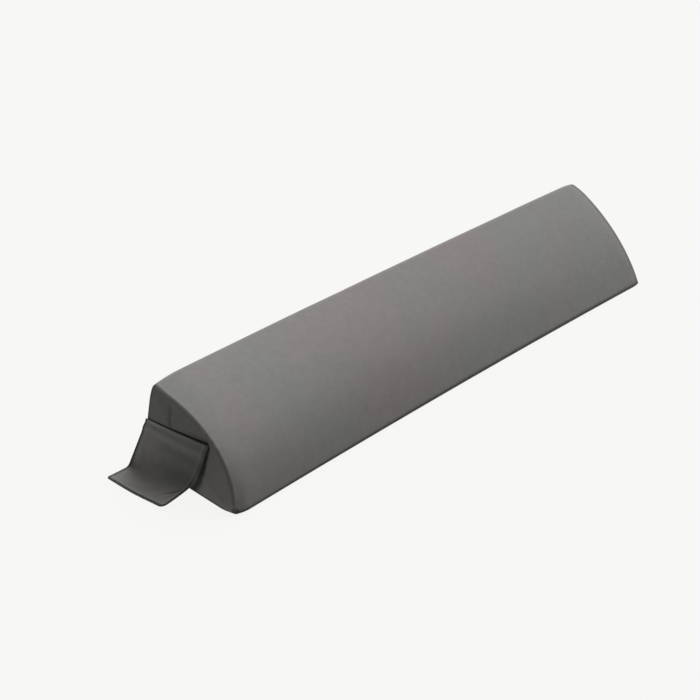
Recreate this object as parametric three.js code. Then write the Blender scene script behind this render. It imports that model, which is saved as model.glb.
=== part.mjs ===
// A bed gap filler: a long wedge cushion with a swelling slope, and a cloth flap sewn across one end.
// Sizes are in millimetres. X runs along the cushion, with the flap at the -X end. +Y points out of the
// upright back and +Z is up. The origin is the middle of the base, on the surface that the cushion lies on.
import * as THREE from "three";

// The cushion's cut sizes: its length, and the two straight sides of its right-angled section
const LENGTH = 1524;
const DEPTH = 254;
const HEIGHT = 188;

// How the long edges leave the straight: the ridge rises and the front edge is drawn in towards mid length
const RIDGE_CROWN = 5.5;
const FRONT_DRAW_IN = 7.5;

// What differs between the two ends. Swell is how far the slope stands out past the straight line between
// its edges, and skew is the share by which it does so more towards the front. The ridge drops and the front
// edge pulls in over the last stretch before the end, and the three corners of the end panel are drawn in
// along the cushion.
const FLAP_END = {
  swell: 63.5,
  skew: 0.42,
  ridgeDrop: { by: 9, over: 70 },
  frontPull: { by: 8, over: 40 },
  cornerDrawIn: { front: { by: 8, over: 28 }, ridge: { by: 9, over: 45 }, heel: { by: 5, over: 40 } },
};
const FAR_END = {
  swell: 26,
  skew: 0.1,
  ridgeDrop: { by: 6, over: 50 },
  frontPull: { by: 4, over: 30 },
  cornerDrawIn: { front: { by: 1, over: 30 }, ridge: { by: 9, over: 45 }, heel: { by: 4, over: 40 } },
};
const CORNER_SOFTNESS = 8;

// How quickly the swell and the skew grow towards the flap end: evenly at 1, later where it is more
const SWELL_GROWTH = 1.6;

// The end panels: how far their seams bow out past the cut length, and how far their middles then crown
const END_BOW = 2;
const END_CROWN = 5;

// How far from the sharp edge the cover starts to turn, and how deep the stitching pulls the seam there
const TURN = { heel: 6, front: 7, ridge: 14, end: 8 };
const SEAM_DEPTH = 0.8;

// The flap: a hemmed square of the cover's cloth, held close to the panel at the seam along its top
const FLAP_LENGTH = 167;
const CLOTH = 2;
const HEM = { width: 6, slope: 2, extra: 0.9 };
const FLAP_CORNER = { back: 5, front: 14 };
const SEAM_HOLD = { flat: 4, release: 12 };
const SEAM_GAP = 0.6;

// The flap's lines from its back edge to its front edge. A line starts at topY, topZ and ends at endY and
// the height lift. It hangs at one angle and ends at another, measured from straight down, and turns from
// one to the other over the length of cloth called bend.
const FLAP_LINES = {
  back: { topY: 125, topZ: 102, endY: 126, hang: 22, lie: 90, bend: 16, lift: 0 },
  middle: { topY: 46, topZ: 115, endY: 50, hang: 13, lie: 85, bend: 80, lift: 0 },
  front: { topY: -38, topZ: 124, endY: -20, hang: 11, lie: 73, bend: 60, lift: 9 },
};

// How finely the solids are faceted
const SECTION_STEPS = { base: 6, slope: 24, back: 5 };
const TURN_STEPS = 6;
const LENGTH_STEPS = 28;
const PANEL_RINGS = [0.9, 0.75, 0.56, 0.36, 0.16];
const FLAP_STEPS = { across: 16, down: 26, corner: 5 };

const { lerp, smoothstep, degToRad } = THREE.MathUtils;
const HALF = LENGTH / 2 + END_BOW;
const END_STATION = HALF - TURN.end;

// A value of the two ends at x, which changes faster near the flap end
function betweenEnds(x, name) {
  const nearness = ((1 - x / HALF) / 2) ** SWELL_GROWTH;
  return lerp(FAR_END[name], FLAP_END[name], nearness);
}

const endAt = (x) => (x < 0 ? FLAP_END : FAR_END);

// An amount that grows from nothing to its full size over the last stretch before an end
function towardsEnd(x, { by, over }) {
  const share = Math.max(0, (Math.abs(x) - (HALF - over)) / over);
  return by * share * share;
}

// A point on an arc between two points that swells to its left by the given height, and by more than a
// circle's early on where it is skewed
function swellingArc(from, to, { swell, skew }, share) {
  const chord = to.clone().sub(from);
  const half = chord.length() / 2;
  const radius = (half * half + swell * swell) / (2 * swell);
  const angle = (2 * share - 1) * Math.asin(half / radius);
  const along = chord.normalize();
  const left = new THREE.Vector2(-along.y, along.x);
  const middle = from.clone().add(to).multiplyScalar(0.5);
  const ahead = radius * Math.sin(angle);
  const out = radius * Math.cos(angle) - (radius - swell);
  middle.addScaledVector(along, ahead);
  return middle.addScaledVector(left, out * (1 - (skew * ahead) / (2 * half)));
}

// The sharp corners of the section at x. A section's Vector2 holds y and z.
function cornersAt(x) {
  const middle = 1 - (x / HALF) ** 2;
  const frontY = -DEPTH / 2 + FRONT_DRAW_IN * middle + towardsEnd(x, endAt(x).frontPull);
  const ridgeZ = HEIGHT + RIDGE_CROWN * middle - towardsEnd(x, endAt(x).ridgeDrop);
  return {
    heel: new THREE.Vector2(DEPTH / 2, 0),
    front: new THREE.Vector2(frontY, 0),
    ridge: new THREE.Vector2(DEPTH / 2, ridgeZ),
  };
}

// The three sides of the section at x, each with the turn of the cover at its start
function sidesAt(x) {
  const { heel, front, ridge } = cornersAt(x);
  const arc = { swell: betweenEnds(x, "swell"), skew: betweenEnds(x, "skew") };
  const straight = (from, to) => (share) => from.clone().lerp(to, share);
  const slope = (share) => swellingArc(front, ridge, arc, share);
  return [
    { at: straight(heel, front), long: heel.distanceTo(front), steps: SECTION_STEPS.base, turn: TURN.heel },
    { at: slope, long: front.distanceTo(ridge), steps: SECTION_STEPS.slope, turn: TURN.front },
    { at: straight(ridge, heel), long: ridge.distanceTo(heel), steps: SECTION_STEPS.back, turn: TURN.ridge },
  ];
}

// The turn of the cover from one side to the next, with the stitching drawn in at its middle
function turnPoints(side, next) {
  const start = side.at(1 - next.turn / side.long);
  const end = next.at(next.turn / next.long);
  const points = new THREE.QuadraticBezierCurve(start, side.at(1), end).getPoints(TURN_STEPS);
  const inwards = start.clone().lerp(end, 0.5).sub(side.at(1)).setLength(SEAM_DEPTH);
  points[TURN_STEPS / 2].add(inwards);
  return points.slice(0, TURN_STEPS);
}

// The section's outline at x: base, front edge, slope, ridge, back and heel, with the same count at every x
function outlineAt(x) {
  const sides = sidesAt(x);
  const outline = [];
  sides.forEach((side, i) => {
    const next = sides[(i + 1) % sides.length];
    const first = side.turn / side.long;
    const last = 1 - next.turn / side.long;
    for (let k = 0; k < side.steps; k++) {
      outline.push(side.at(lerp(first, last, k / side.steps)));
    }
    outline.push(...turnPoints(side, next));
  });
  return outline;
}

// The share of its distance along the cushion that each point of an outline keeps, with the end panel's
// corners drawn in
function keptAlong(ring, end) {
  const corners = cornersAt(0);
  return ring.map((point) => {
    const pulls = Object.entries(end.cornerDrawIn).map(([name, { by, over }]) => {
      const off = Math.hypot(point.distanceTo(corners[name]), CORNER_SOFTNESS) - CORNER_SOFTNESS;
      return by * Math.max(0, 1 - off / over) ** 2;
    });
    return 1 - Math.max(...pulls) / HALF;
  });
}

// An outline moved inwards, each point on its ray to the middle, so that it can't fold over itself
function inset(outline, distance) {
  const middle = middleOf(outline);
  return outline.map((point, i) => {
    const before = outline.at(i - 1);
    const after = outline[(i + 1) % outline.length];
    const along = after.clone().sub(before).normalize();
    const ray = point.clone().sub(middle);
    const reach = ray.y * along.x - ray.x * along.y;
    return middle.clone().addScaledVector(ray, 1 - distance / reach);
  });
}

// The middle of an outline, where an end panel's crown is highest
function middleOf(outline) {
  const sum = new THREE.Vector2();
  outline.forEach((point) => sum.add(point));
  return sum.divideScalar(outline.length);
}

// How far an end panel stands out at a ring that is scaled about its middle
const crownAt = (scale) => END_CROWN * (1 - scale * scale);

// The rings that turn the cover on to an end panel and crown it, from the body outwards. Side is -1 or 1.
function endRings(side) {
  const outline = outlineAt(side * END_STATION);
  const end = endAt(side);
  const rings = [];
  for (let k = 1; k <= TURN_STEPS; k++) {
    const angle = ((k / TURN_STEPS) * Math.PI) / 2;
    const seam = k === TURN_STEPS / 2 ? SEAM_DEPTH * Math.SQRT1_2 : 0;
    const x = END_STATION + TURN.end * Math.sin(angle) - seam;
    const ring = inset(outline, TURN.end * (1 - Math.cos(angle)) + seam);
    const kept = keptAlong(ring, end);
    rings.push(ring.map((p, i) => new THREE.Vector3(side * x * kept[i], p.x, p.y)));
  }
  const edge = inset(outline, TURN.end);
  const middle = middleOf(edge);
  for (const scale of PANEL_RINGS) {
    const ring = edge.map((p) => middle.clone().lerp(p, scale));
    const kept = keptAlong(ring, end);
    const out = crownAt(scale);
    rings.push(ring.map((p, i) => new THREE.Vector3(side * (HALF * kept[i] + out), p.x, p.y)));
  }
  return rings;
}

// A closed solid from rings of equal count. The first and last ring are closed by strips from side to side.
function solidFromRings(rings) {
  const count = rings[0].length;
  const last = (rings.length - 1) * count;
  const index = [];
  for (let r = 0; r < last; r += count) {
    for (let i = 0; i < count; i++) {
      const j = (i + 1) % count;
      index.push(r + i, r + j, r + i + count);
      index.push(r + j, r + j + count, r + i + count);
    }
  }
  for (let i = 0; i + 1 < count / 2; i++) {
    const [a, b, c, d] = [i, i + 1, count - 2 - i, count - 1 - i];
    index.push(a, d, b, b, d, c);
    index.push(last + a, last + b, last + d, last + b, last + c, last + d);
  }
  const geometry = new THREE.BufferGeometry().setFromPoints(rings.flat());
  geometry.setIndex(index);
  geometry.computeVertexNormals();
  return geometry;
}

// The filled cushion, from the far end to the flap end, with its stations closer together near the ends
function filledWedge() {
  const rings = endRings(1).reverse();
  for (let k = 0; k <= LENGTH_STEPS; k++) {
    const x = END_STATION * Math.cos((k / LENGTH_STEPS) * Math.PI);
    const outline = outlineAt(x);
    const kept = keptAlong(outline, endAt(x));
    rings.push(outline.map((p, i) => new THREE.Vector3(x * kept[i], p.x, p.y)));
  }
  rings.push(...endRings(-1));
  return solidFromRings(rings);
}

// How far the flap end's panel stands out past HALF at (y, z)
function panelOut(y, z) {
  const edge = inset(outlineAt(-END_STATION), TURN.end);
  const middle = middleOf(edge);
  const ray = new THREE.Vector2(y, z).sub(middle);
  let scale = 0;
  edge.forEach((a, i) => {
    const side = edge[(i + 1) % edge.length].clone().sub(a);
    const offset = a.clone().sub(middle);
    const reach = offset.cross(side) / ray.cross(side);
    const share = offset.cross(ray) / ray.cross(side);
    if (reach > 0 && share >= 0 && share <= 1) scale = 1 / reach;
  });
  return crownAt(Math.min(1, scale));
}

// A value of the flap's lines at a share across it, on the parabola through the three of them
function flapValue(name, across) {
  const { back, middle, front } = FLAP_LINES;
  const curve = 2 * (back[name] + front[name] - 2 * middle[name]);
  return back[name] + (front[name] - back[name] - curve) * across + curve * across * across;
}

// One line down the flap's underside, as points (out, up) at equal steps of cloth, when its bend starts at
// the given length down
function flapLine(across, bendStart, steps) {
  const hang = degToRad(flapValue("hang", across));
  const lie = degToRad(flapValue("lie", across));
  const bend = flapValue("bend", across);
  const step = FLAP_LENGTH / steps;
  const line = [new THREE.Vector2(0, flapValue("topZ", across))];
  for (let k = 0; k < steps; k++) {
    const down = (k + 0.5) * step;
    const released = smoothstep(down, SEAM_HOLD.flat, SEAM_HOLD.flat + SEAM_HOLD.release);
    const turned = smoothstep(down, bendStart, bendStart + bend);
    const angle = hang * released + (lie - hang) * turned;
    const next = new THREE.Vector2(Math.sin(angle), -Math.cos(angle)).multiplyScalar(step);
    line.push(next.add(line.at(-1)));
  }
  return line;
}

// The same line with its bend placed so that its end comes down to the lift
function settledLine(across) {
  const lift = Math.max(0, flapValue("lift", across));
  const fine = 240;
  let [low, high] = [-60, FLAP_LENGTH];
  for (let k = 0; k < 30; k++) {
    const start = (low + high) / 2;
    if (flapLine(across, start, fine).at(-1).y > lift) low = start;
    else high = start;
  }
  return flapLine(across, low, fine);
}

// A point of the flap's underside on one of its lines, at a length of cloth down it
function flapPoint(across, line, down) {
  const at = THREE.MathUtils.clamp(down / FLAP_LENGTH, 0, 1) * (line.length - 1);
  const k = Math.min(Math.floor(at), line.length - 2);
  const { x: out, y: up } = line[k].clone().lerp(line[k + 1], at - k);
  const topY = flapValue("topY", across);
  const y = lerp(topY, flapValue("endY", across), down / FLAP_LENGTH);
  const hanging = panelOut(topY, flapValue("topZ", across)) + out;
  const touching = panelOut(y, up);
  return new THREE.Vector3(-(HALF + SEAM_GAP + Math.max(hanging, touching)), y, Math.max(0, up));
}

// How far a rounded corner takes the flap's side in, at a length of cloth down it
function cornerInset(radius, down) {
  const past = Math.max(0, down - (FLAP_LENGTH - radius));
  return radius - Math.sqrt(Math.max(0, radius * radius - past * past));
}

// The lengths down the flap at which it has a row of points, closer together round its corners
function flapRows() {
  const straight = FLAP_LENGTH - FLAP_CORNER.front;
  const rows = [];
  for (let k = 0; k < FLAP_STEPS.down; k++) rows.push((k / FLAP_STEPS.down) * straight);
  for (let k = 0; k <= FLAP_STEPS.corner; k++) {
    const angle = ((k / FLAP_STEPS.corner) * Math.PI) / 2;
    rows.push(straight + FLAP_CORNER.front * Math.sin(angle));
  }
  return rows;
}

// The shares across a row of the flap at which it has a point: its two ends, both sides of each hem's slope,
// and even steps between
function flapShares(width) {
  const edge = HEM.width / width;
  const inner = (HEM.width + HEM.slope) / width;
  const shares = [0, edge];
  for (let k = 0; k <= FLAP_STEPS.across; k++) shares.push(lerp(inner, 1 - inner, k / FLAP_STEPS.across));
  return [...shares, 1 - edge, 1];
}

// The flap: its underside, and over it the cloth, thicker by the hem along its three free edges
function endFlap() {
  const width = flapValue("topY", 0) - flapValue("topY", 1);
  const nudge = 0.01;
  const rows = flapRows();
  const rings = rows.map(() => []);
  const overs = rows.map(() => []);
  for (const share of flapShares(width)) {
    rows.forEach((down, r) => {
      const first = cornerInset(FLAP_CORNER.back, down) / width;
      const last = 1 - cornerInset(FLAP_CORNER.front, down) / width;
      const across = lerp(first, last, share);
      const line = settledLine(across);
      const here = flapPoint(across, line, down);
      const aside = flapPoint(across + nudge, settledLine(across + nudge), down).sub(here);
      const ahead = flapPoint(across, line, down + 0.5).sub(flapPoint(across, line, down - 0.5));
      const outwards = ahead.cross(aside).normalize();
      const fromEdge = Math.min(share * width, (1 - share) * width, FLAP_LENGTH - down);
      const hem = HEM.extra * (1 - smoothstep(fromEdge, HEM.width, HEM.width + HEM.slope));
      rings[r].push(here);
      overs[r].unshift(here.clone().addScaledVector(outwards, CLOTH + hem));
    });
  }
  return solidFromRings(rings.map((under, r) => [...under, ...overs[r]]));
}

// A named mesh in the cover's cloth
function clothMesh(name, geometry, color) {
  const material = new THREE.MeshStandardMaterial({ color, roughness: 0.95, metalness: 0 });
  const mesh = new THREE.Mesh(geometry, material);
  mesh.name = name;
  return mesh;
}

const gapFiller = new THREE.Group();
gapFiller.add(clothMesh("filled_wedge", filledWedge(), 0x75716f));
gapFiller.add(clothMesh("end_flap", endFlap(), 0x6b6866));

export default gapFiller;
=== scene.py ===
import math
from functools import partial

import bpy
import numpy as np
from mathutils import Matrix, Vector, noise


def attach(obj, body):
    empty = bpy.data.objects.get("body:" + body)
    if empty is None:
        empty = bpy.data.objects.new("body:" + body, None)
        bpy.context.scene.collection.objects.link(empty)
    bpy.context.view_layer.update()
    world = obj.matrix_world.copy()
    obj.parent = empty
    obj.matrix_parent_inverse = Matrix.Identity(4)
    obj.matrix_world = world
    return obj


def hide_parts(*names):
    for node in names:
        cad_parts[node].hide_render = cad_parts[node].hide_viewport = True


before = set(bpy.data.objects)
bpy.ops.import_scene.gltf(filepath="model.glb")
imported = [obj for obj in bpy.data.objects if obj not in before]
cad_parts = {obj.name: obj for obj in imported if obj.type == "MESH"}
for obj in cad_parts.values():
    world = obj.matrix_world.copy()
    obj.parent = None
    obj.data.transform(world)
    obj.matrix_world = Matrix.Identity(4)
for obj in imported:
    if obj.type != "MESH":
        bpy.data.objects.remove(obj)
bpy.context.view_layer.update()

# The cushion's cut sizes and how its long edges leave the straight, as its solid has them
LENGTH = 1.524
DEPTH = 0.254
HEIGHT = 0.188
RIDGE_CROWN = 0.0055
FRONT_DRAW_IN = 0.0075

# Its two ends: how far the slope swells there and how much of that lies near the front. Then, each as a
# size and the length it takes: how far the ridge drops, the front edge pulls back and the panel's
# corners draw in.
FLAP_END = {
    "swell": 0.0635,
    "skew": 0.42,
    "ridge_drop": (0.009, 0.070),
    "front_pull": (0.008, 0.040),
    "draw_in": {"front": (0.008, 0.028), "ridge": (0.009, 0.045), "heel": (0.005, 0.040)},
}
FAR_END = {
    "swell": 0.026,
    "skew": 0.1,
    "ridge_drop": (0.006, 0.050),
    "front_pull": (0.004, 0.030),
    "draw_in": {"front": (0.001, 0.030), "ridge": (0.009, 0.045), "heel": (0.004, 0.040)},
}

# How much faster the swell changes near the flap's end, and how softly a corner's draw-in starts
SWELL_GROWTH = 1.6
CORNER_SOFTNESS = 0.008

# The end panels: how far they stand past the cut length and their crown over that, and the cover's turns
END_BOW = 0.002
END_CROWN = 0.005
TURN = {"heel": 0.006, "front": 0.007, "ridge": 0.014, "end": 0.008}
HALF = LENGTH / 2 + END_BOW
END_STATION = HALF - TURN["end"]

# How finely the cover is meshed round the section, along the cushion and over its two end panels, and how
# far the sections crowd together towards the ends
SECTION_STEPS = {"base": 36, "slope": 100, "back": 60}
TURN_STEPS = 8
STATIONS = 120
CROWDING = 0.6
END_PANEL_RINGS = {"flap": 84, "far": 12}
INNERMOST_RING = 0.03

# More than any length of the part
FAR_OFF = 9.0

# The cover's fit: how far the filling may press the cloth out, the frames of the simulation that does
# it, and how many times its result is evened out, because the photograph's slope is smooth
PRESS_OUT = 0.0018
PRESS_FRAMES = 8
EVENED_TIMES = 120

# Where the cloth is free, as the start and end of a soft change: above the base, away from the flap's
# end and away from the seams. Then its slow unevenness there.
FREE = {"above_base": (0.0005, 0.012), "off_flap_end": (0.002, 0.05), "off_seams": (0.004, 0.03)}
WAVINESS = {"height": 0.0006, "length": 0.16}

# The seams: the groove their stitching makes, how far they gather the cloth, and the half width of the
# painted highlight along the ridge
SEAM_GROOVE = {"depth": 0.0007, "start": 0.0003, "half_width": 0.0020}
GATHERED = {"long": 0.014, "end": 0.012}
PAINTED_RIDGE_HIGHLIGHT = 0.0045

# The line of painted shade beside a seam: its half width, how far above a base seam and past the far end's
# seam it lies, the heights that count as low and the depths that count as the back, and how dark it is up
# the back and elsewhere round each end. It is at its darkest low down, where it stands in for the shade
# the cover has at the floor.
SEAM_SHADE = {
    "half_width": 0.0036,
    "above": 0.0052,
    "past_far_end": 0.010,
    "low": (0.012, 0.022),
    "at_back": (0.112, 0.122),
    "back": 0.9,
    "far_end": 0.6,
    "flap_end": 0.12,
}

# Lines over the flap end's panel: each a path of (y, z), and its height, its half width and how dark the
# painted shade in its hollow is at both ends of the path
PANEL_FOLDS = {
    "sewn line of the flap, opening towards the slope": {
        "path": ((0.127, 0.1035), (0.060, 0.1140), (-0.036, 0.1272)),
        "height": (-0.0005, -0.0026),
        "half_width": (0.0011, 0.0025),
        "dark": (0.10, 1.0),
    },
    "soft hollow above its open part": {
        "path": ((0.050, 0.1190), (-0.030, 0.1300)),
        "height": (-0.0004, -0.0010),
        "half_width": (0.0060, 0.0070),
        "dark": (0.05, 0.5),
    },
    "crease of the panel": {
        "path": ((0.066, 0.160), (0.061, 0.123)),
        "height": (-0.0016, -0.0016),
        "half_width": (0.0050, 0.0050),
        "dark": (0.2, 0.4),
    },
    # Its hollow is painted as a dark strip of shadow behind the flap's front edge
    "shaded strip behind the flap's front edge": {
        "path": ((-0.0395, 0.121), (-0.036, 0.072), (-0.028, 0.035), (-0.008, -0.004)),
        "height": (-0.0022, -0.0022),
        "half_width": (0.0026, 0.0085),
        "dark": (1.4, 1.8),
    },
    "broad low fold in front of the strip": {
        "path": ((-0.056, 0.085), (-0.050, 0.030)),
        "height": (0.0006, 0.0006),
        "half_width": (0.0140, 0.0140),
        "dark": (0.0, 0.0),
    },
}

# Where those lines fade in: over the turn on to the panel, as lengths short of its plane, and off its seam
PANEL_STARTS = {"short_of_half": (0.012, 0.009), "off_seam": (0.001, 0.005)}

# The flap, as its solid has it: its cloth, its hem, its corners and how its sewn edge is held
FLAP_LENGTH = 0.167
CLOTH = 0.002
HEM = {"width": 0.006, "slope": 0.002, "extra": 0.0009, "stitched_at": 0.0048}
FLAP_CORNER = {"back": 0.005, "front": 0.014}
SEAM_HOLD = (0.004, 0.016)
SEAM_GAP = 0.0006

# At its back edge, its middle and its front edge: where the flap starts and ends, the degrees that it
# hangs out from the panel and lies at, the length of its bend, and how far its end stays off the floor
FLAP_LINES = {
    "top_y": (0.125, 0.046, -0.038),
    "top_z": (0.102, 0.115, 0.124),
    "end_y": (0.126, 0.050, -0.020),
    "hang": (22, 13, 11),
    "lie": (90, 85, 73),
    "bend": (0.016, 0.080, 0.060),
    "lift": (0.0, 0.0, 0.009),
}
FLAP_GRID = {"hem": 10, "across": 44, "down": 88, "corner": 8, "lines": 61, "line_steps": 240}

# Soft troughs and ridges of the flap: the share across it and down it, the turn in degrees, the lengths
# along and across the fold as shares of the flap, the height, and how dark the painted shade in its hollow
# is. They start below the seam.
FLAP_FOLDS = (
    (0.50, 0.100, 0, 1.20, 0.060, 0.0030, 0.0),
    (0.60, 0.215, 6, 0.50, 0.060, -0.0018, 0.0),
    (0.40, 0.420, 60, 0.30, 0.100, 0.0014, 0.0),
    (0.87, 0.740, -45, 0.09, 0.018, -0.0030, 0.60),
    (0.90, 0.770, -45, 0.10, 0.024, 0.0022, 0.0),
    (0.14, 0.560, 80, 0.24, 0.050, 0.0010, 0.0),
    (0.30, 0.880, -20, 0.30, 0.060, 0.0010, 0.0),
)
FOLDS_START = (0.004, 0.02)

# The flap is painted paler where it is clear of the floor, most at its back edge: painted light. A line of
# painted shade runs along its hem, weaker high up on the front half, with a faint painted highlight just
# inside the hem, and the hem is gathered a little.
FLAP_PAINTED_LIGHT = {"clear_of_floor": (0.002, 0.022), "at_back": 1.36, "less_to_front": 1.40}
HEM_PAINTED_SHADE = {"by": 0.95, "less": 0.6, "high_up": (0.020, 0.050), "centre": 0.0020, "half_width": 0.0030}
HEM_PAINTED_HIGHLIGHT = {"by": 0.25, "centre": 0.0085, "half_width": 0.0024}
HEM_GATHERED = 0.006

# The thread of the flap's hem: one stitch every pitch, the first a little below the sewn edge, and the
# steps of the line that it follows
THREAD = {"pitch": 0.0036, "stitch": 0.0028, "radius": 0.00028, "first": 0.005, "step": 0.002}
THREAD_GREYS = ((0.075, 0.073, 0.071, 1), (0.13, 0.127, 0.124, 1))
THREAD_RELIEF = (0.0001, 0.6)

# The cloth: its yarns and how far they sway, and for each piece a warm and a cool grey, how much its
# painted light pales it and how much its seams pucker it
YARNS_PER_METRE = 1100
YARN_SWAY = 0.0009
COVER_CLOTH = {
    "warm": (0.116, 0.105, 0.102, 1),
    "cool": (0.107, 0.107, 0.104, 1),
    "painted_light_by": 0.4,
    "pucker": 1.0,
}
FLAP_CLOTH = {
    "warm": (0.102, 0.098, 0.095, 1),
    "cool": (0.098, 0.098, 0.095, 1),
    "painted_light_by": 0.72,
    "pucker": 0.3,
}
# How far the painted shade darkens the cloth where it is full
PAINTED_SHADE_DARKENS = 0.9

# The cloth's reliefs: the height of each and how strongly it shows
SLOW_RELIEF = (0.004, 0.35)
GATHER_RELIEF = (0.003, 0.6)
WEAVE_RELIEF = (0.00025, 0.5)
NAP_RELIEF = (0.0003, 0.3)

# The room: light from all round, a large soft lamp overhead and a little behind, and a floor that glows,
# so that it keeps hardly any shadow, as in the photograph
ROOM_LIGHT = 0.12
LAMP = {"strength": 7.15, "softness": 60, "tilt": (-10, 34)}
FLOOR = {"half_size": 30, "colour": (0.02, 0.02, 0.0198, 1), "glow": (1, 1, 0.99, 1), "strength": 0.891}

# The camera stands where the photograph's outline puts it, turned a little on its own axis
CAMERA = {"place": (-3.0331, -1.8512, 2.1077), "yaw": 56.01, "pitch": 30.71, "roll": 9.87, "lens": 94.25}


def smooth(value, low, high):
    """0 below low, 1 above high, and a smooth rise between them."""
    share = np.clip((value - low) / (high - low), 0.0, 1.0)
    return share * share * (3 - 2 * share)


def bell(distance, half_width):
    """1 at no distance, and a soft fall to nearly 0 by twice the half width."""
    return np.exp(-((distance / half_width) ** 2))


def between(first, last, share):
    return first + (last - first) * share


def end_at(x):
    """The sizes of the end that x is nearer to."""
    return FLAP_END if x < 0 else FAR_END


def towards_end(x, size_and_reach):
    """An amount that grows to its full size over the last stretch before an end."""
    size, reach = size_and_reach
    share = max(0.0, (abs(x) - (HALF - reach)) / reach)
    return size * share * share


def corners_at(x):
    """The sharp corners of the section at x, as (y, z)."""
    middle = 1 - (x / HALF) ** 2
    front_y = -DEPTH / 2 + FRONT_DRAW_IN * middle + towards_end(x, end_at(x)["front_pull"])
    ridge_z = HEIGHT + RIDGE_CROWN * middle - towards_end(x, end_at(x)["ridge_drop"])
    return {
        "heel": np.array((DEPTH / 2, 0.0)),
        "front": np.array((front_y, 0.0)),
        "ridge": np.array((DEPTH / 2, ridge_z)),
    }


def swelling_arc(start, end, share, swell, skew):
    """A point on an arc that swells to the left of its chord, and more so early on where it is skewed."""
    chord = end - start
    half = np.linalg.norm(chord) / 2
    radius = (half * half + swell * swell) / (2 * swell)
    angle = (2 * share - 1) * math.asin(half / radius)
    along = chord / (2 * half)
    left = np.array((-along[1], along[0]))
    ahead = radius * math.sin(angle)
    out = radius * math.cos(angle) - (radius - swell)
    return (start + end) / 2 + along * ahead + left * out * (1 - skew * ahead / (2 * half))


def between_ends(x, name):
    """A value of the two ends at x, changing faster near the end with the flap."""
    nearness = ((1 - x / HALF) / 2) ** SWELL_GROWTH
    return between(FAR_END[name], FLAP_END[name], nearness)


def sides_at(x):
    """The three sides of the section at x: a function of the share along it, its length, steps, turn."""
    corners = corners_at(x)
    swelling = partial(swelling_arc, swell=between_ends(x, "swell"), skew=between_ends(x, "skew"))
    sides = []
    for name, first, last, route in (
        ("base", "heel", "front", between),
        ("slope", "front", "ridge", swelling),
        ("back", "ridge", "heel", between),
    ):
        start, end = corners[first], corners[last]
        length = np.linalg.norm(end - start)
        sides.append((partial(route, start, end), length, SECTION_STEPS[name], TURN[first]))
    return sides


def outline_at(x):
    """The section's outline at x, with a bend of TURN_STEPS points at the end of each side."""
    sides = sides_at(x)
    points = []
    for i, (at, length, steps, turn) in enumerate(sides):
        next_at, next_length, _, next_turn = sides[(i + 1) % 3]
        first = turn / length
        last = 1 - next_turn / length
        for k in range(steps):
            points.append(at(first + (last - first) * k / steps))
        a, b, c = at(last), at(1.0), next_at(next_turn / next_length)
        for k in range(TURN_STEPS):
            t = k / TURN_STEPS
            points.append(a * (1 - t) ** 2 + b * 2 * t * (1 - t) + c * t * t)
    return np.array(points)


def seam_columns():
    """The places in an outline where its three seams run, at the middle of each turn."""
    columns = []
    count = 0
    for steps in SECTION_STEPS.values():
        count += steps
        columns.append(count + TURN_STEPS // 2)
        count += TURN_STEPS
    return columns


def kept_along(ring, end):
    """The share of its place along the cushion that each point keeps, with the end's corners drawn in."""
    pull = np.zeros(len(ring))
    for name, (size, reach) in end["draw_in"].items():
        off = np.linalg.norm(ring - corners_at(0.0)[name], axis=1)
        near = np.maximum(0, 1 - (np.hypot(off, CORNER_SOFTNESS) - CORNER_SOFTNESS) / reach)
        pull = np.maximum(pull, size * near * near)
    return 1 - pull / HALF


def inset(outline, distance):
    """An outline moved inwards, each point on its ray to the middle, so that it can't fold over itself."""
    along = np.roll(outline, -1, axis=0) - np.roll(outline, 1, axis=0)
    along /= np.linalg.norm(along, axis=1)[:, None]
    middle = outline.mean(axis=0)
    ray = outline - middle
    reach = ray[:, 1] * along[:, 0] - ray[:, 0] * along[:, 1]
    return middle + ray * (1 - distance / reach)[:, None]


def crown_at(scale):
    """How far an end panel stands out at a share of the way from its middle to its edge."""
    return END_CROWN * (1 - scale * scale)


def end_rings(side, count):
    """The rings that turn the cover on to an end panel and crown it, from the body outwards."""
    outline = outline_at(side * END_STATION)
    end = end_at(side)
    rings = []
    for k in range(1, TURN_STEPS + 1):
        angle = k / TURN_STEPS * math.pi / 2
        x = END_STATION + TURN["end"] * math.sin(angle)
        ring = inset(outline, TURN["end"] * (1 - math.cos(angle)))
        rings.append(np.column_stack((side * x * kept_along(ring, end), ring)))
    edge = inset(outline, TURN["end"])
    middle = edge.mean(axis=0)
    for k in range(1, count + 1):
        scale = 1 - (1 - INNERMOST_RING) * k / count
        ring = middle + (edge - middle) * scale
        x = HALF * kept_along(ring, end) + crown_at(scale)
        rings.append(np.column_stack((side * x, ring)))
    return rings


def cover_grid():
    """The cover as a grid of points, ring by ring from the far end to the flap end."""
    rings = end_rings(1, END_PANEL_RINGS["far"])[::-1]
    for k in range(STATIONS + 1):
        share = k / STATIONS
        x = END_STATION * between(1 - 2 * share, math.cos(math.pi * share), CROWDING)
        outline = outline_at(x)
        rings.append(np.column_stack((x * kept_along(outline, end_at(x)), outline)))
    rings += end_rings(-1, END_PANEL_RINGS["flap"])
    return np.array(rings)


def seam_rings():
    """The places among the rings where the two end panels' seams run."""
    far = END_PANEL_RINGS["far"] + TURN_STEPS // 2
    flap = END_PANEL_RINGS["far"] + TURN_STEPS + STATIONS + TURN_STEPS // 2
    return [far, flap]


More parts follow.
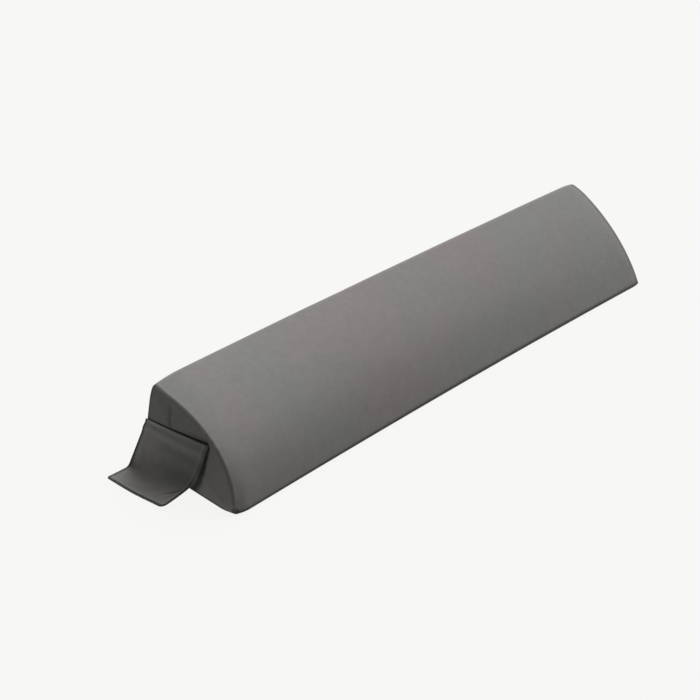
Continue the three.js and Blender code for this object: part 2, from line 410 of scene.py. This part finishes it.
def distance_to(grid, marks, axis):
    """How far each point of the grid lies from the nearest mark, over the cloth along one axis."""
    wrap = axis == 1
    steps = np.linalg.norm(np.diff(grid, axis=axis, append=grid[:, :1] if wrap else grid[-1:]), axis=2)
    steps = np.moveaxis(steps, axis, 0)
    total = steps.sum(axis=0)
    place = np.concatenate((np.zeros((1,) + total.shape), np.cumsum(steps, axis=0)[:-1]))
    best = np.full(place.shape, FAR_OFF)
    for mark in marks:
        apart = np.abs(place - place[mark])
        if wrap:
            apart = np.minimum(apart, total - apart)
        best = np.minimum(best, apart)
    return np.moveaxis(best, 0, axis)


def grid_faces(rows, columns, closed):
    """Quads over a grid of points. A closed one joins its last column to its first and fills its ends."""
    faces = []
    for r in range(rows - 1):
        for i in range(columns if closed else columns - 1):
            j = (i + 1) % columns
            a, b = r * columns + i, r * columns + j
            faces.append((a, b, b + columns, a + columns))
    if closed:
        last = (rows - 1) * columns
        for i in range(columns // 2 - 1):
            strip = (i, columns - 1 - i, columns - 2 - i, i + 1)
            faces.append(strip)
            faces.append(tuple(last + v for v in reversed(strip)))
    return faces


def linked_object(name, data):
    obj = bpy.data.objects.new(name, data)
    bpy.context.scene.collection.objects.link(obj)
    return obj


def mesh_object(name, points, faces):
    mesh = bpy.data.meshes.new(name)
    mesh.from_pydata([tuple(p) for p in points], [], faces)
    mesh.validate()
    mesh.shade_smooth()
    return linked_object(name, mesh)


def points_of(mesh):
    flat = np.zeros(len(mesh.vertices) * 3)
    mesh.vertices.foreach_get("co", flat)
    return flat.reshape(-1, 3)


def normals_of(mesh):
    flat = np.zeros(len(mesh.vertices) * 3)
    mesh.vertex_normals.foreach_get("vector", flat)
    return flat.reshape(-1, 3)


def move_points(obj, points):
    obj.data.vertices.foreach_set("co", np.ascontiguousarray(points).ravel())
    obj.data.update()


def raise_points(obj, height):
    """Moves each point of a mesh along its normal, but none of them under the floor."""
    points = points_of(obj.data) + normals_of(obj.data) * height.reshape(-1, 1)
    points[:, 2] = np.maximum(points[:, 2], 0)
    move_points(obj, points)
    return points


def weigh_points(obj, name, weights):
    """A vertex group with a weight for each point that has one."""
    group = obj.vertex_groups.new(name=name)
    for i in np.flatnonzero(weights):
        group.add([int(i)], float(weights[i]), "REPLACE")


def store(obj, name, values):
    attribute = obj.data.attributes.new(name, "FLOAT", "POINT")
    attribute.data.foreach_set("value", np.ascontiguousarray(values, dtype=np.float32))


def corner_vertices(mesh):
    """The vertex at each corner of each face."""
    vertex = np.zeros(len(mesh.loops), dtype=np.int64)
    mesh.loops.foreach_get("vertex_index", vertex)
    return vertex


def lay_map(mesh, places):
    """A map of the cloth, with a place in metres for each corner of each face."""
    layer = mesh.uv_layers.new(name="cloth")
    layer.uv.foreach_set("vector", places.astype(np.float32).ravel())


def pressed_points(obj, held):
    """Where the cover's points come to when the filling presses it out between its held seams."""
    copy = obj.copy()
    copy.data = obj.data.copy()
    bpy.context.scene.collection.objects.link(copy)
    weigh_points(copy, "held", held)
    cloth = copy.modifiers.new("press", "CLOTH")
    settings = cloth.settings
    settings.quality = 4
    settings.mass = 0.3
    settings.tension_stiffness = 20
    settings.compression_stiffness = 20
    settings.bending_stiffness = 2
    settings.use_pressure = True
    settings.uniform_pressure_force = 4
    settings.shrink_min = -0.002
    settings.vertex_group_mass = "held"
    settings.effector_weights.gravity = 0
    cloth.point_cache.frame_start = 1
    cloth.point_cache.frame_end = PRESS_FRAMES
    scene = bpy.context.scene
    for step in range(1, PRESS_FRAMES + 1):
        scene.frame_set(step)
    evaluated = copy.evaluated_get(bpy.context.evaluated_depsgraph_get())
    points = points_of(evaluated.data)
    bpy.data.objects.remove(copy)
    scene.frame_set(1)
    return points


def evened(field, times):
    """A grid of values round the cover, evened out with their neighbours."""
    for _ in range(times):
        field = (np.roll(field, 1, axis=1) + 2 * field + np.roll(field, -1, axis=1)) / 4
        longer = np.pad(field, ((1, 1), (0, 0)), mode="edge")
        field = (longer[:-2] + 2 * field + longer[2:]) / 4
    return field


def press_out(obj, free, shape):
    """Lets the filling press the cover out, smoothly and by no more than PRESS_OUT, where free says so."""
    start = points_of(obj.data)
    normals = normals_of(obj.data)
    moved = pressed_points(obj, 1 - free) - start
    rise = evened((moved * normals).sum(axis=1).reshape(shape), EVENED_TIMES).ravel()
    print("press out: mean %.4f, largest %.4f" % (rise.mean(), rise.max()))
    move_points(obj, start + normals * (PRESS_OUT * np.tanh(rise / PRESS_OUT) * free)[:, None])


def wavy(points, height, length):
    """A slow random rise and fall of the cloth at each point."""
    return np.array([noise.noise(Vector(p) / length) for p in points]) * height


def along_path(y, z, path):
    """How far each (y, z) is from a path of points, and the share of the path at which it is nearest."""
    corners = np.array(path)
    lengths = np.linalg.norm(np.diff(corners, axis=0), axis=1)
    off = np.full(y.shape, FAR_OFF)
    share = np.zeros(y.shape)
    for i, length in enumerate(lengths):
        along = (corners[i + 1] - corners[i]) / length
        dy, dz = y - corners[i][0], z - corners[i][1]
        down = np.clip(dy * along[0] + dz * along[1], 0, length)
        apart = np.hypot(dy - down * along[0], dz - down * along[1])
        share = np.where(apart < off, (lengths[:i].sum() + down) / lengths.sum(), share)
        off = np.minimum(off, apart)
    return off, share


def end_panel_relief(points, to_edge):
    """The folds of the flap end's panel as a height, and the painted shade in their hollows."""
    x, y, z = points.T
    first, last = PANEL_STARTS["short_of_half"]
    on_panel = smooth(-x, HALF - first, HALF - last)
    relief = np.zeros(len(points))
    hollow = np.zeros(len(points))
    for fold in PANEL_FOLDS.values():
        off, share = along_path(y, z, fold["path"])
        size = bell(off, between(*fold["half_width"], share))
        relief += between(*fold["height"], share) * size
        hollow = np.maximum(hollow, between(*fold["dark"], share) * size)
    relief *= on_panel * smooth(to_edge, *PANEL_STARTS["off_seam"])
    return relief, np.minimum(hollow, 1) * on_panel


def lay_cover_map(mesh, grid):
    """Maps the cloth along the cushion and round its girth, or flat on the end panels."""
    rows, columns = grid.shape[:2]
    girth = np.linalg.norm(np.diff(grid[rows // 2], axis=0, append=grid[rows // 2][:1]), axis=1)
    round_at = np.concatenate(([0], np.cumsum(girth)))
    corners = corner_vertices(mesh).reshape(-1, 4)
    flat = grid.reshape(-1, 3)
    column = corners % columns
    wraps = column.max(axis=1) - column.min(axis=1) > 2
    column = np.where(wraps[:, None] & (column == 0), columns, column)
    ring = corners // columns
    first, last = seam_rings()
    on_end = (ring.mean(axis=1) < first) | (ring.mean(axis=1) > last)
    along = np.where(on_end[:, None], flat[corners, 1], flat[corners, 0])
    round_it = np.where(on_end[:, None], flat[corners, 2], round_at[column])
    lay_map(mesh, np.stack((along, round_it), axis=-1))


def seam_distances(grid):
    """How far each point of the cover is from the ridge's seam, a base seam and an end's seam."""
    rows, columns = grid.shape[:2]
    ring = np.repeat(np.arange(rows), columns)
    first, last = seam_rings()
    on_body = (ring >= first) & (ring <= last)
    fronts, ridges, heels = seam_columns()
    to_ridge = np.where(on_body, distance_to(grid, [ridges], 1).ravel(), FAR_OFF)
    to_base = np.where(on_body, distance_to(grid, [fronts, heels], 1).ravel(), FAR_OFF)
    return to_ridge, to_base, distance_to(grid, [first, last], 0).ravel()


def fill_cover(obj, grid, to_seam, to_end):
    """Presses the cover out, sews it in and folds its panel. Gives its points and the painted shade of the
    hollows.
    """
    x, _, z = grid.reshape(-1, 3).T
    first, last = FREE["off_flap_end"]
    above_base = smooth(z, *FREE["above_base"])
    off_flap_end = smooth(x, first - HALF, last - HALF)
    press_out(obj, smooth(to_seam, *FREE["off_seams"]) * above_base * off_flap_end, grid.shape[:2])
    points = points_of(obj.data)
    rise = wavy(points, WAVINESS["height"], WAVINESS["length"]) * above_base * off_flap_end
    rise -= SEAM_GROOVE["depth"] * (1 - smooth(to_seam, SEAM_GROOVE["start"], SEAM_GROOVE["half_width"]))
    relief, hollow = end_panel_relief(points, to_end)
    return raise_points(obj, rise + relief), hollow


def mark_cover(obj, points, to_ridge, to_base, to_end, hollow):
    """Marks the cover's painted shade and painted highlight, and where its cloth is gathered."""
    x, y, z = points.T
    low = 1 - smooth(z, *SEAM_SHADE["low"])
    at_back = smooth(y, *SEAM_SHADE["at_back"])
    width = SEAM_SHADE["half_width"]
    off_end = to_end - np.where(x > 0, SEAM_SHADE["past_far_end"], low * SEAM_SHADE["above"])
    plain = np.where(x > 0, SEAM_SHADE["far_end"], SEAM_SHADE["flap_end"])
    end_shade = np.maximum(np.maximum(low, SEAM_SHADE["back"] * at_back), plain)
    shade = np.maximum(
        bell(to_base - SEAM_SHADE["above"], width),
        end_shade * bell(off_end, width * (1 + at_back)),
    )
    # Painted shade: the dark line beside the seams and the dark of the end panel's hollows
    store(obj, "seam", np.maximum(shade, hollow))
    # A painted highlight along the ridge
    store(obj, "light", bell(to_ridge, PAINTED_RIDGE_HIGHLIGHT))
    store(obj, "long_gather", np.exp(-np.minimum(to_ridge, to_base) / GATHERED["long"]))
    store(obj, "end_gather", np.exp(-to_end / GATHERED["end"]))


def build_cushion():
    grid = cover_grid()
    rows, columns = grid.shape[:2]
    obj = mesh_object("wedge_cushion", grid.reshape(-1, 3), grid_faces(rows, columns, True))
    lay_cover_map(obj.data, grid)
    to_ridge, to_base, to_end = seam_distances(grid)
    to_seam = np.minimum(np.minimum(to_ridge, to_base), to_end)
    points, hollow = fill_cover(obj, grid, to_seam, to_end)
    mark_cover(obj, points, to_ridge, to_base, to_end, hollow)
    return obj


def flap_value(name, across):
    """A value of the flap's lines at a share across it, on the parabola through its three."""
    back, middle, front = FLAP_LINES[name]
    curve = 2 * (back + front - 2 * middle)
    return back + (front - back - curve) * across + curve * across * across


def panel_out(y, z):
    """How far the flap end's panel stands out past HALF at each (y, z)."""
    edge = inset(outline_at(-END_STATION), TURN["end"])
    middle = edge.mean(axis=0)
    ray = np.stack((y, z), axis=-1)[..., None, :] - middle
    side = np.roll(edge, -1, axis=0) - edge
    offset = edge - middle
    # A ray that runs along a side of the edge never crosses it
    with np.errstate(divide="ignore", invalid="ignore"):
        across = ray[..., 0] * side[:, 1] - ray[..., 1] * side[:, 0]
        reach = (offset[:, 0] * side[:, 1] - offset[:, 1] * side[:, 0]) / across
        share = (offset[:, 0] * ray[..., 1] - offset[:, 1] * ray[..., 0]) / across
    hit = (reach > 0) & (share >= 0) & (share <= 1)
    scale = 1 / np.where(hit, reach, np.inf).min(axis=-1)
    return crown_at(np.minimum(1, scale))


def flap_line(across, bend_start):
    """One line down the flap's underside, as (out, up) at equal steps of cloth."""
    steps = FLAP_GRID["line_steps"]
    hang = math.radians(flap_value("hang", across))
    lie = math.radians(flap_value("lie", across))
    step = FLAP_LENGTH / steps
    down = (np.arange(steps) + 0.5) * step
    turned = smooth(down, bend_start, bend_start + flap_value("bend", across))
    angle = hang * smooth(down, *SEAM_HOLD) + (lie - hang) * turned
    out = np.concatenate(([0], np.cumsum(np.sin(angle) * step)))
    up = flap_value("top_z", across) - np.concatenate(([0], np.cumsum(np.cos(angle) * step)))
    return out, up


def settled_line(across):
    """The same line, with its bend placed so that its end comes down to the lift."""
    lift = max(0, flap_value("lift", across))
    # Halved 30 times, the stretch in which the bend can start is far shorter than a yarn
    low, high = -0.06, FLAP_LENGTH
    for _ in range(30):
        start = (low + high) / 2
        if flap_line(across, start)[1][-1] > lift:
            low = start
        else:
            high = start
    return flap_line(across, low)


def flap_tables():
    """How far out and up the flap's underside lies, in two tables that run across it and down it."""
    lines = [settled_line(share) for share in np.linspace(0, 1, FLAP_GRID["lines"])]
    return np.array([line[0] for line in lines]), np.array([line[1] for line in lines])


def read_table(table, across, down):
    """Values between the entries of a table that runs across the flap and down it."""
    rows, columns = table.shape
    a = np.clip(across, 0, 1) * (rows - 1)
    d = np.clip(down / FLAP_LENGTH, 0, 1) * (columns - 1)
    i = np.minimum(a.astype(int), rows - 2)
    j = np.minimum(d.astype(int), columns - 2)
    a, d = a - i, d - j
    near = table[i, j] * (1 - d) + table[i, j + 1] * d
    far = table[i + 1, j] * (1 - d) + table[i + 1, j + 1] * d
    return near * (1 - a) + far * a


def flap_points(tables, across, down):
    """Points of the flap's underside, at shares across it and lengths of cloth down it."""
    out, up = (read_table(table, across, down) for table in tables)
    top_y = flap_value("top_y", across)
    y = top_y + (flap_value("end_y", across) - top_y) * down / FLAP_LENGTH
    hanging = panel_out(top_y, flap_value("top_z", across)) + out
    x = -(HALF + SEAM_GAP + np.maximum(hanging, panel_out(y, up)))
    return np.stack((x, y, np.maximum(0.0, up)), axis=-1)


def corner_inset(radius, down):
    """How far a rounded corner of the flap's end takes its side edge in."""
    past = np.maximum(0, down - (FLAP_LENGTH - radius))
    return radius - np.sqrt(np.maximum(0, radius * radius - past * past))


def flap_width():
    return flap_value("top_y", 0) - flap_value("top_y", 1)


def places_across():
    """Shares across the flap, close together over its two hems."""
    hem = 2 * HEM["width"] / flap_width()
    near = np.linspace(0, hem, FLAP_GRID["hem"], endpoint=False)
    middle = np.linspace(hem, 1 - hem, FLAP_GRID["across"])
    return np.concatenate((near, middle, 1 - near[::-1]))


def places_down():
    """Lengths of cloth down the flap, close together over the hem and the corners at its end."""
    corner = FLAP_CORNER["front"]
    straight = np.linspace(0, FLAP_LENGTH - corner, FLAP_GRID["down"], endpoint=False)
    turn = np.sin(np.linspace(0, math.pi / 2, FLAP_GRID["corner"] + 1))
    return np.concatenate((straight, FLAP_LENGTH - corner + corner * turn))


def flap_folds(share, down):
    """How far the flap's cloth stands off its plain curve in its folds, and the painted shade in their
    hollows.
    """
    folds = np.zeros(np.broadcast(share, down).shape)
    hollow = np.zeros(folds.shape)
    for centre_s, centre_d, turn, long, wide, height, dark in FLAP_FOLDS:
        a = math.radians(turn)
        ds, dd = share - centre_s, down / FLAP_LENGTH - centre_d
        along = ds * math.cos(a) + dd * math.sin(a)
        off = -ds * math.sin(a) + dd * math.cos(a)
        size = np.exp(-((along / long) ** 2) - (off / wide) ** 2)
        folds += height * size
        hollow = np.maximum(hollow, dark * size)
    return folds * smooth(down, *FOLDS_START), hollow


def flap_places():
    """The flap's grid: shares of its width, lengths down it, and shares across within its corners."""
    share, down = np.meshgrid(places_across()[::-1], places_down())
    first = corner_inset(FLAP_CORNER["back"], down) / flap_width()
    last = 1 - corner_inset(FLAP_CORNER["front"], down) / flap_width()
    return share, down, between(first, last, share)


def mark_flap(obj, height, share, edge, hollow):
    """Marks the flap's painted light and painted shade, and where its cloth is gathered."""
    # Painted light where the flap is clear of the floor, and a painted highlight just inside its hem
    clear = smooth(height, *FLAP_PAINTED_LIGHT["clear_of_floor"])
    pale = clear * (FLAP_PAINTED_LIGHT["at_back"] - FLAP_PAINTED_LIGHT["less_to_front"] * share)
    pale += HEM_PAINTED_HIGHLIGHT["by"] * bell(edge - HEM_PAINTED_HIGHLIGHT["centre"], HEM_PAINTED_HIGHLIGHT["half_width"])
    # Painted shade along the hem, and in the hollows of the flap's folds
    dark = HEM_PAINTED_SHADE["by"] - HEM_PAINTED_SHADE["less"] * smooth(height, *HEM_PAINTED_SHADE["high_up"]) * (share > 0.5)
    dark *= bell(edge - HEM_PAINTED_SHADE["centre"], HEM_PAINTED_SHADE["half_width"])
    store(obj, "seam", np.maximum(dark, hollow))
    store(obj, "light", pale)
    for name in ("long_gather", "end_gather"):
        store(obj, name, np.exp(-edge / HEM_GATHERED))


def thicken_flap(obj, edge):
    """Gives the flap the thickness of its cloth, and more along its turned-in hem."""
    weigh_points(obj, "hem", 1 - smooth(edge, HEM["width"], HEM["width"] + HEM["slope"]))
    thick = obj.modifiers.new("cloth", "SOLIDIFY")
    thick.thickness = CLOTH + HEM["extra"]
    thick.offset = 1
    thick.vertex_group = "hem"
    thick.thickness_vertex_group = CLOTH / (CLOTH + HEM["extra"])
    finer = obj.modifiers.new("finer", "SUBSURF")
    finer.levels = 1
    finer.render_levels = 1


def build_flap(tables):
    share, down, across = flap_places()
    grid = flap_points(tables, across, down)
    rows, columns = grid.shape[:2]
    obj = mesh_object("sewn_flap", grid.reshape(-1, 3), grid_faces(rows, columns, False))
    places = np.stack((across * flap_width(), down), axis=-1).reshape(-1, 2)
    lay_map(obj.data, places[corner_vertices(obj.data)])
    folds, hollow = flap_folds(across, down)
    points = raise_points(obj, folds)
    edge = np.minimum(np.minimum(share, 1 - share) * flap_width(), FLAP_LENGTH - down).ravel()
    mark_flap(obj, points[:, 2], share.ravel(), edge, hollow.ravel())
    thicken_flap(obj, edge)
    return obj


def put(tree, kind, inputs=None, **settings):
    """Adds a node, sets its own settings, and links or sets its inputs by name."""
    node = tree.nodes.new(kind)
    for key, value in settings.items():
        setattr(node, key, value)
    for key, value in (inputs or {}).items():
        socket = node.inputs[key]
        if isinstance(value, bpy.types.NodeSocket):
            tree.links.new(value, socket)
        else:
            socket.default_value = value
    return node


def maths(tree, operation, a, b=0.0, c=0.0):
    return put(tree, "ShaderNodeMath", {0: a, 1: b, 2: c}, operation=operation).outputs[0]


def noise_in(tree, place, scale, detail, roughness=0.5):
    """A cloudy noise of that many turns a metre, as its texture node's outputs."""
    inputs = {"Vector": place, "Scale": scale, "Detail": detail, "Roughness": roughness}
    return put(tree, "ShaderNodeTexNoise", inputs).outputs


def mapped(tree, value, low, high, to_low=0.0, to_high=1.0):
    """A value whose range from low to high becomes that from to_low to to_high."""
    return put(tree, "ShaderNodeMapRange", {0: value, 1: low, 2: high, 3: to_low, 4: to_high}).outputs[0]


def mixed(tree, share, first, last):
    inputs = {"Factor": share, "A": first, "B": last}
    return put(tree, "ShaderNodeMix", inputs, data_type="RGBA").outputs["Result"]


def scaled(tree, vector, by):
    return put(tree, "ShaderNodeVectorMath", {0: vector, "Scale": by}, operation="SCALE").outputs[0]


def attribute(tree, name):
    return put(tree, "ShaderNodeAttribute", attribute_name=name).outputs["Fac"]


def bump(tree, height, distance, strength, under=None):
    inputs = {"Height": height, "Distance": distance, "Strength": strength}
    if under:
        inputs["Normal"] = under
    return put(tree, "ShaderNodeBump", inputs).outputs[0]


def new_group(name, kind, inputs, output):
    """A node group with named inputs and one named output, each with its kind, and the inputs' sockets."""
    tree = bpy.data.node_groups.new(name, kind)
    for label, socket in inputs.items():
        tree.interface.new_socket(label, in_out="INPUT", socket_type="NodeSocket" + socket)
    label, socket = output
    tree.interface.new_socket(label, in_out="OUTPUT", socket_type="NodeSocket" + socket)
    return tree, put(tree, "NodeGroupInput").outputs


def weave_group():
    """The cloth's fine weave, as a height, from a place on the cloth and its yarns per metre."""
    inputs = {"Place": "Vector", "Yarns per metre": "Float"}
    tree, given = new_group("weave", "ShaderNodeTree", inputs, ("Height", "Float"))
    sway = scaled(tree, noise_in(tree, given["Place"], 90.0, 2.0)["Color"], YARN_SWAY)
    place = put(tree, "ShaderNodeVectorMath", {0: given["Place"], 1: sway}).outputs[0]
    parts = put(tree, "ShaderNodeSeparateXYZ", {0: place}).outputs
    turns = maths(tree, "MULTIPLY", given["Yarns per metre"], math.pi)
    warp = maths(tree, "SINE", maths(tree, "MULTIPLY", parts[0], turns))
    weft = maths(tree, "SINE", maths(tree, "MULTIPLY", parts[1], turns))
    height = maths(tree, "MULTIPLY_ADD", maths(tree, "MULTIPLY", warp, weft), 0.5, 0.5)
    put(tree, "NodeGroupOutput", {"Height": height})
    return tree


def mottle_group():
    """The cloth's colour: a warm and a cool grey in slow patches, paler where painted light is marked and
    darker where painted shade is marked.
    """
    inputs = {
        "Place": "Vector",
        "Warm": "Color",
        "Cool": "Color",
        "Seam": "Float",
        "Light": "Float",
        "Light by": "Float",
    }
    tree, given = new_group("mottle", "ShaderNodeTree", inputs, ("Color", "Color"))
    patches = mapped(tree, noise_in(tree, given["Place"], 5.0, 3.0)["Fac"], 0.38, 0.62)
    hue = mixed(tree, patches, given["Warm"], given["Cool"])
    nap = noise_in(tree, given["Place"], 60.0, 4.0, 0.65)["Fac"]
    shade = mapped(tree, nap, 0.3, 0.7, 0.94, 1.06)
    # Painted light pales the cloth and painted shade darkens it
    light = maths(tree, "MULTIPLY", given["Light"], given["Light by"])
    paler = maths(tree, "MULTIPLY_ADD", light, shade, shade)
    seam = maths(tree, "MULTIPLY", given["Seam"], -PAINTED_SHADE_DARKENS)
    darker = maths(tree, "MULTIPLY_ADD", seam, paler, paler)
    put(tree, "NodeGroupOutput", {"Color": scaled(tree, hue, darker)})
    return tree


def gather_group():
    """The small puckers that a seam draws the cloth into, as a height: short ridges square to the seam."""
    inputs = {"Place": "Vector", "Long seam": "Float", "End seam": "Float"}
    tree, given = new_group("gather", "ShaderNodeTree", inputs, ("Height", "Float"))
    heights = []
    for name, stretch in (("Long seam", (110.0, 14.0, 14.0)), ("End seam", (14.0, 110.0, 14.0))):
        stretched = {0: given["Place"], 1: stretch}
        place = put(tree, "ShaderNodeVectorMath", stretched, operation="MULTIPLY").outputs[0]
        heights.append(maths(tree, "MULTIPLY", noise_in(tree, place, 1.0, 2.0)["Fac"], given[name]))
    put(tree, "NodeGroupOutput", {"Height": maths(tree, "ADD", *heights)})
    return tree


def from_group(tree, group, inputs):
    """What a shader group gives for these inputs."""
    return put(tree, "ShaderNodeGroup", inputs, node_tree=group).outputs[0]


def new_material(name):
    """A material with an empty node tree."""
    material = bpy.data.materials.new(name)
    material.use_nodes = True
    material.node_tree.nodes.clear()
    return material, material.node_tree


def finish_material(tree, inputs):
    """Ends a material's tree with its shader."""
    shader = put(tree, "ShaderNodeBsdfPrincipled", inputs)
    put(tree, "ShaderNodeOutputMaterial", {"Surface": shader.outputs[0]})


def cloth_material(name, groups, warm, cool, painted_light_by, pucker):
    """The brushed grey cloth of one piece."""
    material, tree = new_material(name)
    place = put(tree, "ShaderNodeTexCoord").outputs["Object"]
    cloth = put(tree, "ShaderNodeUVMap", uv_map="cloth").outputs[0]
    # The seam attribute carries painted shade and the light attribute carries painted light
    colour = from_group(
        tree,
        groups["mottle"],
        {
            "Place": place,
            "Warm": warm,
            "Cool": cool,
            "Seam": attribute(tree, "seam"),
            "Light": attribute(tree, "light"),
            "Light by": painted_light_by,
        },
    )
    gather = from_group(
        tree,
        groups["gather"],
        {
            "Place": cloth,
            "Long seam": attribute(tree, "long_gather"),
            "End seam": attribute(tree, "end_gather"),
        },
    )
    weave = from_group(tree, groups["weave"], {"Place": cloth, "Yarns per metre": YARNS_PER_METRE})
    nap = noise_in(tree, place, 900.0, 3.0)["Fac"]
    slow = noise_in(tree, place, 11.0, 2.0)["Fac"]
    height, strength = GATHER_RELIEF
    normal = bump(tree, slow, *SLOW_RELIEF)
    normal = bump(tree, gather, height * pucker, strength, normal)
    normal = bump(tree, weave, *WEAVE_RELIEF, normal)
    normal = bump(tree, nap, *NAP_RELIEF, normal)
    finish_material(
        tree,
        {
            "Base Color": colour,
            "Roughness": mapped(tree, nap, 0.3, 0.7, 0.82, 0.96),
            "Normal": normal,
            "Specular IOR Level": 0.25,
            "Sheen Weight": 0.25,
            "Sheen Roughness": 0.4,
        },
    )
    return material


def thread_material():
    material, tree = new_material("grey_thread")
    place = put(tree, "ShaderNodeTexCoord").outputs["Object"]
    ply = noise_in(tree, place, 1800.0, 2.0)["Fac"]
    finish_material(
        tree,
        {
            "Base Color": mixed(tree, ply, *THREAD_GREYS),
            "Roughness": 0.6,
            "Normal": bump(tree, ply, *THREAD_RELIEF),
        },
    )
    return material


def stitch_tree():
    """Stitches along the edges of a path: short rods of thread, one every pitch."""
    inputs = {
        "Path": "Geometry",
        "Pitch": "Float",
        "Stitch": "Float",
        "Radius": "Float",
        "Thread": "Material",
    }
    tree, given = new_group("hem_stitches", "GeometryNodeTree", inputs, ("Stitches", "Geometry"))
    curve = put(tree, "GeometryNodeMeshToCurve", {"Mesh": given["Path"]})
    spots = {"Curve": curve.outputs[0], "Length": given["Pitch"]}
    points = put(tree, "GeometryNodeCurveToPoints", spots, mode="LENGTH").outputs
    sizes = {"Vertices": 6, "Side Segments": 2, "Radius": given["Radius"], "Depth": given["Stitch"]}
    rod = put(tree, "GeometryNodeMeshCylinder", sizes).outputs["Mesh"]
    along = put(tree, "FunctionNodeAlignRotationToVector", {"Vector": points["Tangent"]}, axis="Z")
    rods = {"Points": points["Points"], "Instance": rod, "Rotation": along.outputs[0]}
    placed = put(tree, "GeometryNodeInstanceOnPoints", rods).outputs[0]
    real = put(tree, "GeometryNodeRealizeInstances", {0: placed}).outputs[0]
    coloured = put(tree, "GeometryNodeSetMaterial", {"Geometry": real, "Material": given["Thread"]})
    put(tree, "NodeGroupOutput", {"Stitches": coloured.outputs[0]})
    return tree


def grown(obj, tree, values):
    """The mesh that a Geometry Nodes tree makes of an object, which it takes the place of."""
    modifier = obj.modifiers.new("grow", "NODES")
    modifier.node_group = tree
    for item in tree.interface.items_tree:
        if item.in_out == "INPUT" and item.name in values:
            modifier[item.identifier] = values[item.name]
    evaluated = obj.evaluated_get(bpy.context.evaluated_depsgraph_get())
    made = linked_object(tree.name, bpy.data.meshes.new_from_object(evaluated))
    bpy.data.objects.remove(obj)
    return made


def hem_line():
    """The stitched line: down the flap's front side, along its end and up its back side."""
    width, inner = flap_width(), HEM["stitched_at"]
    low = FLAP_LENGTH - inner
    corner = FLAP_CORNER["front"] - inner
    turn = np.linspace(0, math.pi / 2, FLAP_GRID["corner"] + 1)
    side = np.arange(THREAD["first"], low - corner, THREAD["step"])
    end = np.arange(width - inner - corner, inner + THREAD["step"], -THREAD["step"])
    front_side = (side * 0 + width - inner, side)
    front_turn = (width - inner - corner * (1 - np.cos(turn)), low - corner * (1 - np.sin(turn)))
    along_end = (end, end * 0 + low)
    back_side = (side[::-1] * 0 + inner, side[::-1])
    aside, down = np.concatenate((front_side, front_turn, along_end, back_side), axis=1)
    return aside / width, down


def hem_path(tables):
    """The stitched line on the flap's face, as a path of edges."""
    across, down = hem_line()
    # The cloth's face is square to two short steps over it, one across and one down
    apart = 0.0006
    aside = apart / flap_width()
    over = flap_points(tables, across + aside, down) - flap_points(tables, across - aside, down)
    on = flap_points(tables, across, down + apart) - flap_points(tables, across, down - apart)
    outwards = np.cross(on, over)
    outwards /= np.linalg.norm(outwards, axis=1)[:, None]
    thickness = CLOTH + HEM["extra"] + flap_folds(across, down)[0]
    points = flap_points(tables, across, down) + outwards * thickness[:, None]
    mesh = bpy.data.meshes.new("hem_path")
    mesh.from_pydata([tuple(p) for p in points], [(i, i + 1) for i in range(len(points) - 1)], [])
    return linked_object("hem_path", mesh)


def lay_floor():
    size = FLOOR["half_size"]
    corners = [(-size, -size, 0), (size, -size, 0), (size, size, 0), (-size, size, 0)]
    floor = mesh_object("floor", corners, [(0, 1, 2, 3)])
    material, tree = new_material("pale_floor")
    finish_material(
        tree,
        {
            "Base Color": FLOOR["colour"],
            "Emission Color": FLOOR["glow"],
            "Emission Strength": FLOOR["strength"],
            "Roughness": 1,
            "Specular IOR Level": 0,
        },
    )
    floor.data.materials.append(material)


def light_room():
    scene = bpy.context.scene
    scene.view_settings.view_transform = "Standard"
    scene.world = bpy.data.worlds.new("soft_room")
    scene.world.use_nodes = True
    background = scene.world.node_tree.nodes["Background"]
    background.inputs["Color"].default_value = (1, 1, 1, 1)
    background.inputs["Strength"].default_value = ROOM_LIGHT
    lamp = bpy.data.lights.new("overhead", "SUN")
    lamp.energy = LAMP["strength"]
    lamp.angle = math.radians(LAMP["softness"])
    tilt = [math.radians(degrees) for degrees in LAMP["tilt"]]
    linked_object("overhead", lamp).rotation_euler = (*tilt, 0)


def place_camera():
    yaw, pitch, roll = (math.radians(CAMERA[name]) for name in ("yaw", "pitch", "roll"))
    ahead = Vector((math.sin(yaw) * math.cos(pitch), math.cos(yaw) * math.cos(pitch), -math.sin(pitch)))
    level = Vector((math.cos(yaw), -math.sin(yaw), 0))
    above = level.cross(ahead)
    right = level * math.cos(roll) + above * math.sin(roll)
    up = above * math.cos(roll) - level * math.sin(roll)
    turn = Matrix((right, up, -ahead)).transposed().to_4x4()
    data = bpy.data.cameras.new("photograph")
    data.lens = CAMERA["lens"]
    data.sensor_width = 36
    data.clip_end = 100
    camera = linked_object("photograph", data)
    camera.matrix_world = Matrix.Translation(CAMERA["place"]) @ turn
    bpy.context.scene.camera = camera


def dress(obj, node=None):
    """Puts a piece on the part's one body and, where it stands for a solid, in place of that solid."""
    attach(obj, "root")
    if node:
        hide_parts(node)


place_camera()
lay_floor()
light_room()
groups = {"mottle": mottle_group(), "weave": weave_group(), "gather": gather_group()}

cushion = build_cushion()
cushion.data.materials.append(cloth_material("cover_cloth", groups, **COVER_CLOTH))

tables = flap_tables()
flap = build_flap(tables)
flap.data.materials.append(cloth_material("flap_cloth", groups, **FLAP_CLOTH))
stitches = grown(
    hem_path(tables),
    stitch_tree(),
    {
        "Pitch": THREAD["pitch"],
        "Stitch": THREAD["stitch"],
        "Radius": THREAD["radius"],
        "Thread": thread_material(),
    },
)

dress(cushion, "filled_wedge")
dress(flap, "end_flap")
dress(stitches)
